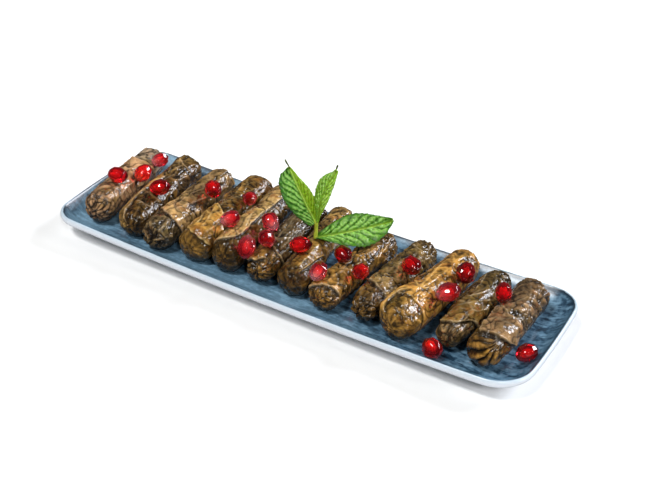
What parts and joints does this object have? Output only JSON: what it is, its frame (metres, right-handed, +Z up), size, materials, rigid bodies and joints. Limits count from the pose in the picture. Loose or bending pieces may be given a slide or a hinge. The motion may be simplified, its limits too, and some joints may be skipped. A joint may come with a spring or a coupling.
{
  "type": "plate of stuffed vine leaves",
  "caption": "Stuffed vine leaves laid side by side on a long slate-blue plate, scattered with pomegranate seeds and topped with a sprig of mint.",
  "frame": {"origin": "middle of the plate's foot, on the surface it stands on", "axes": "+X along the plate, +Y towards its back, +Z up"},
  "size_m": [0.2519, 0.084, 0.0523],
  "materials": {
    "plate_glaze": "slate-blue brushed glaze inside, white glazed edge",
    "vine_leaf": "cooked vine leaf, wrinkled and glossy with oil, from dark olive brown to golden ochre",
    "pomegranate_seed": "wet, clear ruby flesh with a paler tip",
    "mint": "fresh quilted leaf, satin"
  },
  "bodies": {
    "root": {"plate": "plate_glaze", "dolma_01": "vine_leaf", "dolma_02": "vine_leaf", "dolma_03": "vine_leaf", "dolma_04": "vine_leaf", "dolma_05": "vine_leaf", "dolma_06": "vine_leaf", "dolma_07": "vine_leaf", "dolma_08": "vine_leaf", "dolma_09": "vine_leaf", "dolma_10": "vine_leaf", "dolma_11": "vine_leaf", "dolma_12": "vine_leaf", "seed_01": "pomegranate_seed", "seed_02": "pomegranate_seed", "seed_03": "pomegranate_seed", "seed_04": "pomegranate_seed", "seed_05": "pomegranate_seed", "seed_06": "pomegranate_seed", "seed_07": "pomegranate_seed", "seed_08": "pomegranate_seed", "seed_09": "pomegranate_seed", "seed_10": "pomegranate_seed", "seed_11": "pomegranate_seed", "seed_12": "pomegranate_seed", "seed_13": "pomegranate_seed", "seed_14": "pomegranate_seed", "seed_15": "pomegranate_seed", "seed_16": "pomegranate_seed", "seed_17": "pomegranate_seed", "seed_18": "pomegranate_seed", "seed_19": "pomegranate_seed", "seed_20": "pomegranate_seed", "mint_sprig": "mint"}
  },
  "joints": []
}
